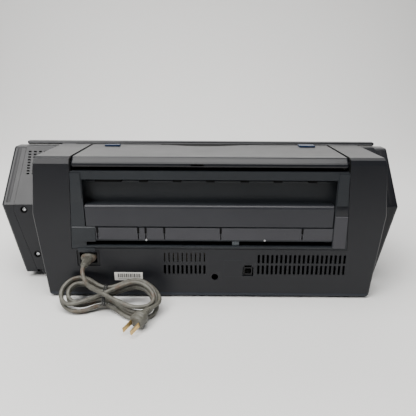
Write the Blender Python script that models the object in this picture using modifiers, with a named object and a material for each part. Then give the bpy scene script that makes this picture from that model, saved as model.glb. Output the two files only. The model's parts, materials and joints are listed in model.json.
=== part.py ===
"""Wide-format desktop inkjet machine with a folding rear paper support, as an assembly of its real pieces.

Frame: +Z up, the front (paper output) faces -Y, the rear (mains inlet, ports) faces +Y.
The origin is under the middle of the machine, on the surface it stands on.
Lengths below are in millimetres; MM turns them into the metres that Blender holds.
"""

import math

import bpy
import bmesh
from mathutils import Matrix, Vector

MM = 0.001

# Driving dimensions of the closed machine.
WIDTH = 622.0
DEPTH = 322.0
HEIGHT = 215.0

BODY_X = WIDTH / 2
REAR_Y = DEPTH / 2
FRONT_Y = -DEPTH / 2
WALL = 2.5

# The body: its widest level, its deck, and the half-widths of its bulging ends at each level.
BASE_Z = 6.0
WIDEST_Z = 112.0
RIDGE_Z = 124.0
DECK_Z = 208.3
END_FOOT_Z = 8.0
END_PROFILE = [(BASE_Z, 284.0), (WIDEST_Z, BODY_X), (DECK_Z, 299.0)]
BODY_REAR_Y = 99.0
DECK_REAR_Y = 51.0
DECK_FRONT = (-118.0, 184.5)
UPPER_FRONT_Y = -149.5
SEAM = 20.0

# The sheet feeder stands out of the body's rear, a little to one side of the middle.
FEED_X = -15.2
FEED_BASE_Z = 3.0
FEED_TOP_Z = 210.7
FEED_FRONT_Y = 39.5
FEED_CREASE_Z = 130.0
FEED_PROFILE = [(FEED_BASE_Z, 238.5), (FEED_CREASE_Z, 250.0), (202.0, 242.3), (FEED_TOP_Z, 240.5)]
FRAME_LOW_Z = 77.8
FRAME_TOP_Z = 192.0
FRAME_WIDE = (199.0, 192.0)
RECESS_X = 177.0
SUPPORT_X = 190.0
SUPPORT_PIVOT = (155.0, 203.0)
DOOR_PIVOT = (159.5, 112.5)

# The lid and the output tray.
LID_PIVOT = (34.6, 208.8)
LID_X = 284.5
TRAY_X = 188.0
TRAY_TOP_Z = 119.0

# The paper path, as (y, z) of each axis.
FEED_AXIS = (0.0, 104.0)
EJECT_AXIS = (-92.0, 105.5)
MOTOR_AXIS = (-20.0, 84.4)
PICKUP_AXIS = (49.5, 154.8)
HOPPER_TOP = (118.0, 190.0)
HOPPER_FOOT = (62.0, 119.0)
SIDE_PLATES = (-260.0, 270.0)

# The control panel on the front slope, as distances down it from the deck.
PANEL_TOP = 11.0
PANEL_END = 57.0
KEYS_DOWN = 34.0

# The print carriage, parked at the machine's right-hand end.
CARRIAGE_X = (146.0, 262.0)
CARRIAGE_SHAFT = (-10.0, 150.0)
BELT_PULLEYS = (-247.0, 260.0)
BELT_Z = 166.0

# The mains lead's hank leans on the feeder's rear and bends down onto the floor: the place of its
# topmost strand, its slope, the radius of the bend, and the place of its tie, down the lean.
CORD_RADIUS = 3.0
LEAN_TOP = (REAR_Y + 3.0, 33.0)
LEAN = math.radians(34.0)
LEAN_BEND = 25.0
TIE_X = 131.0
TIE_DOWN = 32.0
PLUG_START = (65.0, 224.0, 16.9)
PLUG_HEADING = Vector((0.5, 0.866, -0.2)).normalized()

PALETTE = {
    "case_black": ((0.020, 0.021, 0.024), 0.38, 0.0),
    "frame_black": ((0.026, 0.029, 0.033), 0.42, 0.0),
    "inner_black": ((0.012, 0.012, 0.014), 0.55, 0.0),
    "tray_grey": ((0.045, 0.046, 0.050), 0.40, 0.0),
    "button_grey": ((0.30, 0.30, 0.31), 0.35, 0.0),
    "steel": ((0.56, 0.57, 0.58), 0.32, 1.0),
    "rubber": ((0.030, 0.030, 0.030), 0.80, 0.0),
    "white_plastic": ((0.62, 0.62, 0.60), 0.45, 0.0),
    "board_green": ((0.02, 0.16, 0.07), 0.50, 0.0),
    "cord_grey": ((0.27, 0.26, 0.23), 0.50, 0.0),
    "catch_blue": ((0.012, 0.045, 0.110), 0.35, 0.0),
    "brass": ((0.60, 0.42, 0.18), 0.35, 1.0),
    "ink_black": ((0.02, 0.02, 0.02), 0.35, 0.0),
    "ink_cyan": ((0.02, 0.25, 0.50), 0.35, 0.0),
    "ink_magenta": ((0.50, 0.03, 0.18), 0.35, 0.0),
    "ink_yellow": ((0.70, 0.50, 0.02), 0.35, 0.0),
}


def clear_scene():
    for obj in list(bpy.data.objects):
        bpy.data.objects.remove(obj)


def new_collection(name):
    made = bpy.data.collections.new(name)
    bpy.context.scene.collection.children.link(made)
    return made


clear_scene()
PARTS = new_collection("inkjet_machine")
CUTTERS = new_collection("cutters")
CUTTERS.hide_render = True


def paint(mesh, name, look):
    """Gives the mesh a material of its own."""
    colour, roughness, metallic = PALETTE[look]
    made = bpy.data.materials.new(f"{name}_{look}")
    made.use_nodes = True
    shader = made.node_tree.nodes["Principled BSDF"]
    shader.inputs["Base Color"].default_value = (*colour, 1.0)
    shader.inputs["Roughness"].default_value = roughness
    shader.inputs["Metallic"].default_value = metallic
    mesh.materials.append(made)


def place(name, data, look):
    """Links the data as a named part, or as a hidden cutter where it has no look."""
    obj = bpy.data.objects.new(name, data)
    if look is None:
        CUTTERS.objects.link(obj)
        obj.hide_render = True
        obj.display_type = "WIRE"
    else:
        PARTS.objects.link(obj)
        paint(data, name, look)
    return obj


def soften(obj, width, segments=2, angle=30):
    bevel = obj.modifiers.new("soft_edges", "BEVEL")
    bevel.width = width * MM
    bevel.segments = segments
    bevel.limit_method = "ANGLE"
    bevel.angle_limit = math.radians(angle)
    return obj


def boolean(obj, other, operation="DIFFERENCE"):
    step = obj.modifiers.new(other.name, "BOOLEAN")
    step.operation = operation
    step.solver = "EXACT"
    step.object = other
    return obj


def cut(obj, *others):
    for other in others:
        boolean(obj, other)
    return obj


def join(obj, *others):
    for other in others:
        boolean(obj, other, "UNION")
    return obj


def pivot(obj, point):
    """Moves the object's origin to a point on its joint's axis, leaving its shape where it is."""
    shift = Vector(point) * MM
    obj.data.transform(Matrix.Translation(-shift))
    obj.location = shift
    return obj


def from_bmesh(name, bm, look):
    mesh = bpy.data.meshes.new(name)
    bm.normal_update()
    bmesh.ops.recalc_face_normals(bm, faces=bm.faces)
    bm.to_mesh(mesh)
    bm.free()
    return place(name, mesh, look)


def hull(name, points, look=None):
    """The convex solid round the given corners: a tapered box or a faceted casing."""
    bm = bmesh.new()
    for point in points:
        bm.verts.new(Vector(point) * MM)
    made = bmesh.ops.convex_hull(bm, input=bm.verts)
    inside = [item for item in made["geom_interior"] if isinstance(item, bmesh.types.BMVert)]
    bmesh.ops.delete(bm, geom=inside, context="VERTS")
    bmesh.ops.dissolve_limit(bm, angle_limit=math.radians(0.5), verts=bm.verts, edges=bm.edges)
    return from_bmesh(name, bm, look)


def box(name, low, high, look=None):
    bm = bmesh.new()
    size = Vector(high) - Vector(low)
    middle = (Vector(high) + Vector(low)) / 2
    put = Matrix.Translation(middle * MM) @ Matrix.Diagonal((*(size * MM), 1.0))
    bmesh.ops.create_cube(bm, size=1.0, matrix=put)
    return from_bmesh(name, bm, look)


def blocks(name, items, tilt=0.0):
    """One cutter of many separate boxes, each (centre, size), all turned by the same tilt about X."""
    bm = bmesh.new()
    turn = Matrix.Rotation(tilt, 4, "X")
    for centre, size in items:
        put = Matrix.Translation(Vector(centre) * MM) @ turn @ Matrix.Diagonal((*(Vector(size) * MM), 1.0))
        bmesh.ops.create_cube(bm, size=1.0, matrix=put)
    return from_bmesh(name, bm, None)


def bar(name, outline, low_x, high_x, look=None):
    """A convex (y, z) outline carried straight along X."""
    return hull(name, [(x, y, z) for x in (low_x, high_x) for y, z in outline], look)


def disc(name, centre, radius, length, axis, look=None, sides=20):
    """A plain cylinder centred on a point, along the given direction."""
    bm = bmesh.new()
    bmesh.ops.create_cone(
        bm, cap_ends=True, segments=sides, radius1=radius * MM, radius2=radius * MM, depth=length * MM
    )
    turn = Vector(axis).to_track_quat("Z", "Y").to_matrix().to_4x4()
    bm.transform(Matrix.Translation(Vector(centre) * MM) @ turn)
    return from_bmesh(name, bm, look)


def turned(name, profile, start, axis, look=None, steps=20):
    """A turned piece: (radius, distance along the axis) pairs, spun about the axis through start."""
    mesh = bpy.data.meshes.new(name)
    points = [(r * MM, 0.0, d * MM) for r, d in reversed(profile)]
    mesh.from_pydata(points, [(i, i + 1) for i in range(len(points) - 1)], [])
    obj = place(name, mesh, look)
    turn = Vector(axis).to_track_quat("Z", "Y").to_matrix().to_4x4()
    obj.matrix_world = Matrix.Translation(Vector(start) * MM) @ turn
    spin = obj.modifiers.new("spin", "SCREW")
    spin.steps = steps
    spin.render_steps = steps
    spin.use_merge_vertices = True
    spin.merge_threshold = 0.00002
    return obj


def roller(name, sections, yz, start_x, look, steps=20):
    """A stepped roller along X: the (radius, length) of each section, counted from start_x."""
    profile = [(0.0, 0.0)]
    along = 0.0
    for radius, length in sections:
        profile.append((radius, along))
        along += length
        profile.append((radius, along))
    profile.append((0.0, along))
    return turned(name, profile, (start_x, *yz), (1, 0, 0), look, steps)


def tube(name, points, radius, look, closed=False, sides=2):
    """A cord: a smooth curve through the points with a round section."""
    curve = bpy.data.curves.new(name, "CURVE")
    curve.dimensions = "3D"
    curve.resolution_u = 3
    curve.render_resolution_u = 3
    curve.bevel_depth = radius * MM
    curve.bevel_resolution = sides
    curve.use_fill_caps = not closed
    line = curve.splines.new("BEZIER")
    line.bezier_points.add(len(points) - 1)
    line.use_cyclic_u = closed
    for knot, point in zip(line.bezier_points, points):
        knot.co = Vector(point) * MM
        knot.handle_left_type = "AUTO"
        knot.handle_right_type = "AUTO"
    return place(name, curve, look)


def along_profile(profile, z):
    """The half-width at a height, between the listed (height, half-width) levels or in line with them."""
    for (low, a), (high, b) in zip(profile, profile[1:]):
        if z <= high:
            break
    return a + (b - a) * (z - low) / (high - low)


def end_x(z):
    return along_profile(END_PROFILE, z)


def front_y(z):
    """The lower body's front face, leaning out from its foot to the ridge."""
    return FRONT_Y + 11.0 * (RIDGE_Z - z) / (RIDGE_Z - BASE_Z)


def cross(outline, inset, centre=0.0, width=end_x):
    """Corners of a casing with this (y, z) outline whose ends lie inset from the given half-width."""
    return [(centre + side * (width(z) - inset), y, z) for side in (-1, 1) for y, z in outline]


SLOPE_DOWN = (Vector((UPPER_FRONT_Y, RIDGE_Z)) - Vector(DECK_FRONT)).normalized()
SLOPE_OUT = Vector((SLOPE_DOWN.y, -SLOPE_DOWN.x))


def on_slope(down, proud=0.0):
    """The (y, z) of a point on the front slope, measured down it from the deck, and out of it."""
    point = Vector(DECK_FRONT) + SLOPE_DOWN * down + SLOPE_OUT * proud
    return point.x, point.y


# ---------------------------------------------------------------- body casing

SCREWS = [(275.0, 116.0), (262.0, 41.0), (-275.0, 116.0), (-262.0, 41.0)]


def make_base_case():
    levels = (14.0, WIDEST_Z, RIDGE_Z)
    outline = [(front_y(z), z) for z in levels] + [(BODY_REAR_Y, z) for z in levels]
    case = hull("base_case", cross(outline, SEAM + 0.4), "case_black")
    join(case, box("plinth", (-258, front_y(10) + 1, BASE_Z), (258, BODY_REAR_Y - 1.5, 14.4)))
    room = [
        (front_y(8) + WALL + 1, 8.5),
        (front_y(130) + WALL, 130),
        (BODY_REAR_Y - WALL, 130),
        (BODY_REAR_Y - WALL - 1, 8.5),
    ]
    cut(case, hull("base_room", cross(room, SEAM + 0.4 + WALL)))
    cut(case, box("feeder_gate", (FEED_X - 232, 80, 60), (FEED_X + 232, 110, 140)))
    cut(case, box("tray_gate", (-190, -175, 16.5), (190, -137, 140)))
    cut(case, disc("tray_pin_seats", (0, *in_tray(4.2, 5.3)), 2.7, 2 * 197, (1, 0, 0), sides=12))
    for number, (x, z) in enumerate(SCREWS):
        cut(case, disc(f"screw_hole_{number}", (x, BODY_REAR_Y, z), 4.4, 12, (0, 1, 0), sides=12))
        profile = [(0, -9), (1.6, -9), (1.6, -2), (3.7, -2), (3.7, -0.6), (2.6, 0.0), (0, 0)]
        turned(f"case_screw_{number + 1}", profile, (x, BODY_REAR_Y - 0.3, z), (0, 1, 0), "steel", 12)


def upper_outline(inset=0.0, floor=RIDGE_Z + 0.4):
    return [
        (BODY_REAR_Y - inset * 1.15, floor),
        (DECK_REAR_Y - inset * 0.6, DECK_Z - inset),
        (34.0, DECK_Z - inset),
        (DECK_FRONT[0] + inset * 0.7, DECK_FRONT[1] - inset),
        (UPPER_FRONT_Y + inset * 1.1, floor),
    ]


def make_upper_housing():
    shell = hull("upper_housing", cross(upper_outline(), SEAM + 0.4), "case_black")
    cut(shell, hull("upper_room", cross(upper_outline(WALL, RIDGE_Z - 8), SEAM + 0.4 + WALL)))
    cut(shell, box("feeder_window", (FEED_X - 232, 42, 110), (FEED_X + 232, 110, 220)))
    cut(shell, box("print_window", (-262, -104, 170), (262, 26, 225)))
    cut(shell, box("extension_path", (FEED_X - 156, 20, 180), (FEED_X + 156, 60, 225)))
    pockets = [((s * 215, 34, 207), (22, 8.6, 10)) for s in (-1, 1)]
    cut(shell, blocks("lid_knuckle_pockets", pockets))
    panel = [on_slope(d, p) for d in (PANEL_TOP - 0.5, PANEL_END + 0.5) for p in (-8, 8)]
    cut(shell, bar("panel_window", panel, 195.5, 270.5))
    slope = math.atan2(BODY_REAR_Y - DECK_REAR_Y, DECK_Z - RIDGE_Z)
    holes = []
    for row in range(9):
        z = 200.0 - 4.0 * row
        y = BODY_REAR_Y + (DECK_REAR_Y - BODY_REAR_Y) * (z - RIDGE_Z) / (DECK_Z - RIDGE_Z)
        holes += [((247.5 + 8.3 * column, y, z), (4.6, 12, 2.4)) for column in range(4)]
    cut(shell, blocks("side_vents", holes, slope))


def end_outline(inset, foot):
    """The (y, z) section through an end of the body, set in from its faces."""
    return [
        (front_y(foot) + inset, foot),
        (front_y(WIDEST_Z) + inset, WIDEST_Z),
        (FRONT_Y + inset, RIDGE_Z),
        (DECK_FRONT[0] + inset, DECK_FRONT[1] - inset * 0.9),
        (34.0 - inset * 0.3, DECK_Z - inset * 0.9),
        (DECK_REAR_Y - inset * 0.6, DECK_Z - inset * 0.9),
        (BODY_REAR_Y - inset, RIDGE_Z),
        (BODY_REAR_Y - inset, foot),
    ]


def make_end_cover(name, side):
    """One bulging end of the body: a pan that hangs over it, open inward, with a rounded outer rim."""
    outline = end_outline(0.0, END_FOOT_Z)
    points = [(side * end_x(z), y, z) for y, z in outline] + [(side * 200, y, z) for y, z in outline]
    cover = soften(hull(name, points, "case_black"), 4.0, 2, 36)
    levels = (0.0, WIDEST_Z, 220.0)
    seam = [(side * x, y, z) for z in levels for x in (100, end_x(z) - SEAM) for y in (-300, 300)]
    cut(cover, hull(f"{name}_seam", seam))
    room = end_outline(3.2, END_FOOT_Z + 3.2)
    inside = [(side * (end_x(z) - 3.2), y, z) for y, z in room] + [(side * 200, y, z) for y, z in room]
    cut(cover, hull(f"{name}_room", inside))


def make_feet():
    spots = [("front_right", 248, -128), ("front_left", -248, -128), ("rear_right", 248, 78), ("rear_left", -248, 78)]
    for name, x, y in spots:
        profile = [(0, 0), (8.5, 0), (9.5, 1), (9.5, BASE_Z - 0.3), (0, BASE_Z - 0.3)]
        turned(f"foot_{name}", profile, (x, y, 0), (0, 0, 1), "rubber", 16)


def make_lid():
    slope = (DECK_Z - DECK_FRONT[1]) / (34.0 - DECK_FRONT[0])
    nose = (-122.0, DECK_FRONT[1] + 0.5 - slope * 4)
    outline = [(35.0, LID_PIVOT[1]), (35.0, HEIGHT), (-66.0, 199.8), (nose[0], nose[1] + 5.5), nose]
    lid = soften(bar("printer_lid", outline, -LID_X, LID_X, "case_black"), 3.6, 2, 40)
    room = [(30.0, 205.0), (30.0, HEIGHT - 2.6), (-66.0, 197.2), (nose[0] + 4, nose[1] + 3.4)]
    room += [(nose[0] + 4, nose[1] - 4)]
    cut(lid, bar("lid_room", room, -LID_X + 5, LID_X - 5))
    for s in (-1, 1):
        join(lid, disc(f"lid_knuckle_{s}", (s * 215, *LID_PIVOT), 2.3, 20, (1, 0, 0), sides=12))
    pivot(lid, (0, *LID_PIVOT))


def make_controls():
    """The control panel in the front slope, with its keys."""
    panel = [on_slope(d, p) for d in (PANEL_TOP, PANEL_END) for p in (-2.2, 0.8)]
    plate = bar("control_panel", panel, 196, 270, "frame_black")
    out = Vector((0, *SLOPE_OUT))
    for name, x, radius in (("power_button", 212, 6.5), ("paper_button", 235, 5.0), ("ink_button", 255, 5.0)):
        seat = Vector((x, *on_slope(KEYS_DOWN)))
        cut(plate, disc(f"{name}_hole", seat, radius + 0.5, 12, out, sides=16))
        profile = [(0, -4), (radius + 1.5, -4), (radius + 1.5, -2.8), (radius, -2.8), (radius, 2.0)]
        profile += [(radius - 0.6, 2.6), (0, 2.6)]
        turned(name, profile, seat, out, "button_grey", 16)


# ---------------------------------------------------------------- output tray

TRAY_LEAN = (Vector((front_y(TRAY_TOP_Z), TRAY_TOP_Z)) - Vector((front_y(20), 20))).normalized()


def in_tray(up, deep):
    """The (y, z) of a point in the stowed tray: up its face from its foot, and in from its face."""
    point = Vector((front_y(20), 20)) + TRAY_LEAN * up + Vector((TRAY_LEAN.y, -TRAY_LEAN.x)) * deep
    return point.x, point.y


def make_tray():
    """Three flat pieces that telescope, the outer one hinged at its foot."""

    def slab(low, high, near, far):
        return [in_tray(u, d) for u in (low, high) for d in (near, far)]

    tray = bar("output_tray", slab(0, 99, 0.3, 10.3), -TRAY_X, TRAY_X, "case_black")
    soften(tray, 1.0, 1)
    cut(tray, bar("tray_slot", slab(9, 110, 2.5, 8.3), -TRAY_X + 10, TRAY_X - 10))
    cut(tray, bar("tray_grip", slab(92, 110, 0, 5), -30, 30))
    for s in (-1, 1):
        join(tray, disc(f"tray_pin_{s}", (s * (TRAY_X + 3), *in_tray(4.2, 5.3)), 2.2, 10, (1, 0, 0), sides=12))
    pivot(tray, (0, *in_tray(4.2, 5.3)))

    middle = bar("tray_extension", slab(10, 98, 2.9, 7.9), -TRAY_X + 12, TRAY_X - 12, "tray_grey")
    cut(middle, bar("extension_slot", slab(14, 110, 4.2, 6.6), -TRAY_X + 22, TRAY_X - 22))
    cut(middle, bar("extension_grip", slab(92, 110, 0, 5.4), -24, 24))
    end = bar("tray_end_piece", slab(15, 97, 4.6, 6.2), -TRAY_X + 24, TRAY_X - 24, "tray_grey")
    cut(end, bar("end_grip", slab(80, 90, 0, 12), -16, 16))


# ---------------------------------------------------------------- sheet feeder casing


def feed_x(z):
    return along_profile(FEED_PROFILE, z)


def make_feeder_housing():
    edge = 1.2
    rings = [
        (REAR_Y - 1.5, FEED_BASE_Z, 1.5),
        (REAR_Y, FEED_BASE_Z + 2.0, edge + 0.4),
        (REAR_Y, FEED_CREASE_Z, edge),
        (REAR_Y, 201.7, edge),
        (REAR_Y - 2.6, 208.0, edge),
        (REAR_Y - 9.0, FEED_TOP_Z, 1.0),
        (REAR_Y - edge, FEED_CREASE_Z, 0.0),
        (REAR_Y - edge, FEED_BASE_Z + 2.0, 0.0),
        (REAR_Y - 4.5, 205.0, 0.0),
        (FEED_FRONT_Y, FEED_TOP_Z, 1.0),
        (FEED_FRONT_Y, 208.5, 0.0),
        (FEED_FRONT_Y, FEED_CREASE_Z, 0.0),
        (FEED_FRONT_Y, FEED_BASE_Z + 2.0, 0.0),
        (FEED_FRONT_Y, FEED_BASE_Z, 1.5),
    ]
    corners = [(FEED_X + side * (feed_x(z) - inset), y, z) for side in (-1, 1) for y, z, inset in rings]
    shell = hull("feeder_housing", corners, "case_black")
    room = [
        (REAR_Y - WALL, FEED_BASE_Z + WALL),
        (REAR_Y - WALL, 202.0),
        (REAR_Y - 4.6, 206.2),
        (REAR_Y - 9.5, FEED_TOP_Z - WALL),
        (0.0, FEED_TOP_Z - WALL),
        (0.0, FEED_BASE_Z + WALL),
    ]
    inner = cross(room, WALL, FEED_X, feed_x)
    ridge = feed_x(FEED_CREASE_Z) - WALL
    inner += [(FEED_X + s * ridge, y, FEED_CREASE_Z) for s in (-1, 1) for y in (0, REAR_Y - WALL)]
    cut(shell, hull("feeder_room", inner))
    body = [
        (BODY_REAR_Y + 0.7, -20),
        (BODY_REAR_Y + 0.7, RIDGE_Z + 0.2),
        (DECK_REAR_Y + 0.6, DECK_Z + 0.5),
        (-40, DECK_Z + 0.5),
        (-40, -20),
    ]
    cut(shell, bar("body_clearance", body, -BODY_X, BODY_X))
    gate = [(FEED_X + s * (w + 0.5), y, z) for s in (-1, 1) for y in (120, 175)
            for w, z in ((FRAME_WIDE[0], FRAME_LOW_Z - 0.5), (FRAME_WIDE[1], FRAME_TOP_Z + 0.5))]
    cut(shell, hull("frame_gate", gate))
    cut(shell, box("support_gate", (FEED_X - SUPPORT_X - 0.7, 20, 191), (FEED_X + SUPPORT_X + 0.7, 175, 225)))
    slots = [
        ((FEED_X - 72.4 - 6.575 * i, 160, z), (3.4, 20, size))
        for i in range(20)
        for z, size in ((62.3, 13.3), (45.2, 14.4))
    ]
    slots += [((FEED_X + 64.8 - 6.45 * i, 160, 45), (3.2, 20, 14)) for i in range(10)]
    slots += [((FEED_X + 64.8 - 6.45 * i, 160, 64.5), (1.8, 20, 14)) for i in range(10)]
    cut(shell, blocks("rear_vents", slots))
    cut(shell, box("inlet_gate", (FEED_X + 159.5, 140, 50.2), (FEED_X + 192.5, 175, 74.4)))
    cut(shell, box("usb_gate", (FEED_X - 65.2, 140, 35.3), (FEED_X - 49.0, 175, 49.6)))
    cut(shell, box("usb_gate_top", (FEED_X - 62.4, 140, 48), (FEED_X - 51.8, 175, 52.4)))
    cut(shell, disc("hook_hole", (FEED_X - 8.6, 160, 33.3), 5.0, 20, (0, 1, 0), sides=16))


def make_rear_frame():
    def wide(z):
        return along_profile([(FRAME_LOW_Z, FRAME_WIDE[0]), (FRAME_TOP_Z, FRAME_WIDE[1])], z)

    def ring(near, far, low, high):
        return [(y, z) for y in (near, far) for z in (low, high)]

    face = REAR_Y - 0.4
    back = 139.0
    frame = hull("rear_frame", cross(ring(back, face, FRAME_LOW_Z, FRAME_TOP_Z), 0, FEED_X, wide), "frame_black")
    room = ring(back + 2.5, face - 3, FRAME_LOW_Z + 2.4, FRAME_TOP_Z - 2.5)
    cut(frame, hull("frame_room", cross(room, 3, FEED_X, wide)))
    cut(frame, box("recess_window", (FEED_X - RECESS_X, 150, 110.0), (FEED_X + RECESS_X, 175, 180.0)))
    cut(frame, box("jam_access", (FEED_X - 150, 130, 113), (FEED_X + 150, 150, 138)))
    cut(frame, box("rear_slot", (FEED_X - 177, 120, 82.5), (FEED_X + 177, 175, 90)))
    slits = [((FEED_X + x, 160, 100.5), (1.8, 10, 16)) for x in (160, 101.5, 90.9, 64.3, -16.4, -133)]
    cut(frame, blocks("panel_slits", slits))
    ears = [box(f"pivot_ear_{s}", (FEED_X + s * 193 - 1.8, 150.5, 186), (FEED_X + s * 193 + 1.8, 156.5, 206))
            for s in (-1, 1)]
    join(frame, *ears)
    cut(frame, disc("pivot_holes", (FEED_X, *SUPPORT_PIVOT), 2.4, 2 * 200, (1, 0, 0), sides=12))


def make_jam_door():
    outline = [(155.5, 111.2), (REAR_Y, 111.2), (REAR_Y, 139.5), (159.2, 143.4), (155.5, 143.4)]
    half = RECESS_X - 1.5
    door = soften(bar("rear_jam_door", outline, FEED_X - half, FEED_X + half, "frame_black"), 1.0, 2, 20)
    cut(door, box("door_room", (FEED_X - half + 3, 150, 116), (FEED_X + half - 3, 158.4, 140)))
    pivot(door, (FEED_X, *DOOR_PIVOT))


def make_paper_support():
    """The cover that folds up to hold the sheets, with the piece that slides out of it."""
    x = FEED_X
    outline = [(160.8, 197.2), (160.8, 202.6), (152.0, 210.9), (42.0, 210.9), (42.0, 199.0)]
    cover = soften(bar("paper_support", outline, x - SUPPORT_X, x + SUPPORT_X, "case_black"), 2.6, 2, 25)
    room = [(158.5, 180), (158.5, 201.8), (151.2, 208.7), (20.0, 208.7), (20.0, 180)]
    cut(cover, bar("support_room", room, x - SUPPORT_X + 2.4, x + SUPPORT_X - 2.4))
    for s in (-1, 1):
        centre = x + s * 152.2
        web = box(f"support_web_{s}", (centre - 1.2, 52, 197.6), (centre + 1.2, 146, 210))
        centre = x + s * 149.8
        lip = box(f"support_lip_{s}", (centre - 3.6, 52, 197.0), (centre + 3.6, 146, 198.5))
        pin = disc(f"support_pin_{s}", (x + s * 192, *SUPPORT_PIVOT), 2.0, 6, (1, 0, 0), sides=12)
        join(cover, web, lip, pin)
        cut(cover, box(f"pad_pocket_{s}", (x + s * 153 - 11.4, 56.6, 206), (x + s * 153 + 11.4, 65.4, 214)))
        name = "support_pad_right" if s > 0 else "support_pad_left"
        box(name, (x + s * 153 - 11, 57, 207), (x + s * 153 + 11, 65, 211.3), "catch_blue")
    cut(cover, box("finger_notch", (x - 62, 30, 204), (x + 79, 47.5, 214)))
    cut(cover, box("skirt_slot", (x + 8, 150, 199.2), (x + 26, 170, 202.2)))
    pivot(cover, (x, *SUPPORT_PIVOT))

    slide = box("support_extension", (x - 150.2, 49, 199.0), (x + 150.2, 148, 201.4), "frame_black")
    cut(slide, box("extension_grip_hole", (x - 30, 53, 190), (x + 30, 65, 210)))
    ribs = [box(f"extension_rib_{i}", (x + i * 60 - 1.5, 70, 201.0), (x + i * 60 + 1.5, 144, 204.8))
            for i in (-2, -1, 0, 1, 2)]
    join(slide, *ribs)


# ---------------------------------------------------------------- sheet feeder works

HOPPER_DOWN = (Vector(HOPPER_FOOT) - Vector(HOPPER_TOP)).normalized()
HOPPER_OUT = Vector((HOPPER_DOWN.y, -HOPPER_DOWN.x))


def on_hopper(down, proud):
    point = Vector(HOPPER_TOP) + HOPPER_DOWN * down + HOPPER_OUT * proud
    return point.x, point.y


def make_feeder_works():
    x = FEED_X

    def slab(low, high, near, far):
        return [on_hopper(d, p) for d in (low, high) for p in (near, far)]

    chute = bar("feeder_chute", slab(-2, 112, -7, -4.6), x - 176, x + 176, "inner_black")
    for s in (-1, 1):
        cheek = [on_hopper(-2, -7), on_hopper(112, -7), on_hopper(112, 8), on_hopper(76, 52), on_hopper(46, 52)]
        cheek += [on_hopper(-2, 4)]
        join(chute, bar(f"chute_cheek_{s}", cheek, x + s * 174.5 - 1.5, x + s * 174.5 + 1.5))
    cut(chute, disc("pickup_bearings", (x, *PICKUP_AXIS), 4.5, 2 * 190, (1, 0, 0), sides=16))
    cut(chute, disc("hopper_bearings", (x, *HOPPER_TOP), 2.4, 2 * 190, (1, 0, 0), sides=12))

    hopper = bar("hopper_plate", slab(0, 90, -1.0, 1.0), x - 170, x + 170, "frame_black")
    join(hopper, disc("hopper_rod", (x, *HOPPER_TOP), 2.0, 2 * 175.5, (1, 0, 0), sides=12))
    cut(hopper, bar("hopper_track", slab(24, 30, -4, 4), x - 166, x + 70))
    pivot(hopper, (x, *HOPPER_TOP))

    guide = bar("edge_guide", slab(12, 44, 1.4, 15), x - 166.5, x - 164, "tray_grey")
    join(guide, bar("guide_foot", slab(18, 38, 1.4, 3.0), x - 165, x - 140))
    join(guide, bar("guide_runner", slab(24.6, 29.4, -3.2, 2.0), x - 162, x - 150))

    sections = [(4.0, 108), (17.0, 26), (4.0, 66), (17.0, 26), (4.0, 126)]
    roller("pickup_roller", sections, PICKUP_AXIS, x - 176, "rubber", 24)


# ---------------------------------------------------------------- print works


def make_chassis():
    low, high = SIDE_PLATES
    back = box("chassis_frame", (low, 8.0, 118), (high + 1.5, 9.5, 186), "steel")
    for number, x in enumerate((low, high)):
        outline = [(-104, 97), (-104, 130), (-60, 186), (9.5, 186), (9.5, 92), (-60, 92)]
        join(back, bar(f"side_plate_{number}", outline, x, x + 1.5))
    for name, axis, radius in (("feed", FEED_AXIS, 4.5), ("eject", EJECT_AXIS, 4.5), ("drive", MOTOR_AXIS, 3.0)):
        span = 600 if name != "drive" else 20
        centre = 0 if name != "drive" else low + 1
        cut(back, disc(f"{name}_bearings", (centre, *axis), radius, span, (1, 0, 0), sides=16))
    for number, x in enumerate(BELT_PULLEYS):
        cut(back, disc(f"pulley_bearing_{number}", (x, 8.5, BELT_Z), 2.4, 10, (0, 1, 0), sides=12))


def make_paper_path():
    low, high = SIDE_PLATES
    span = high - low
    roller("feed_roller", [(20.0, 6.5), (3.9, 6.0), (8.0, span - 3.0), (3.9, 4.0)], FEED_AXIS, low - 11.0, "steel")
    roller("eject_roller", [(12.0, 6.5), (3.9, 6.0), (6.0, span - 3.0), (3.9, 4.0)], EJECT_AXIS, low - 11.0, "rubber")
    roller("feed_pinion", [(7.6, 6.5), (2.5, 6.0)], MOTOR_AXIS, low - 11.0, "brass", 16)
    turned("feed_motor", [(0, 0), (17, 0), (17, 34), (0, 34)], (low + 2.0, *MOTOR_AXIS), (1, 0, 0), "steel", 20)
    platen = box("platen", (low + 4, -80, 102.2), (high - 3, -14, 110.4), "inner_black")
    cut(platen, blocks("platen_grooves", [((-210 + 60 * i, -46, 110.4), (44, 50, 6)) for i in range(8)]))
    cut(platen, blocks("platen_underside", [((5, -47, 101), (span - 20, 60, 12))]))


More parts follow.
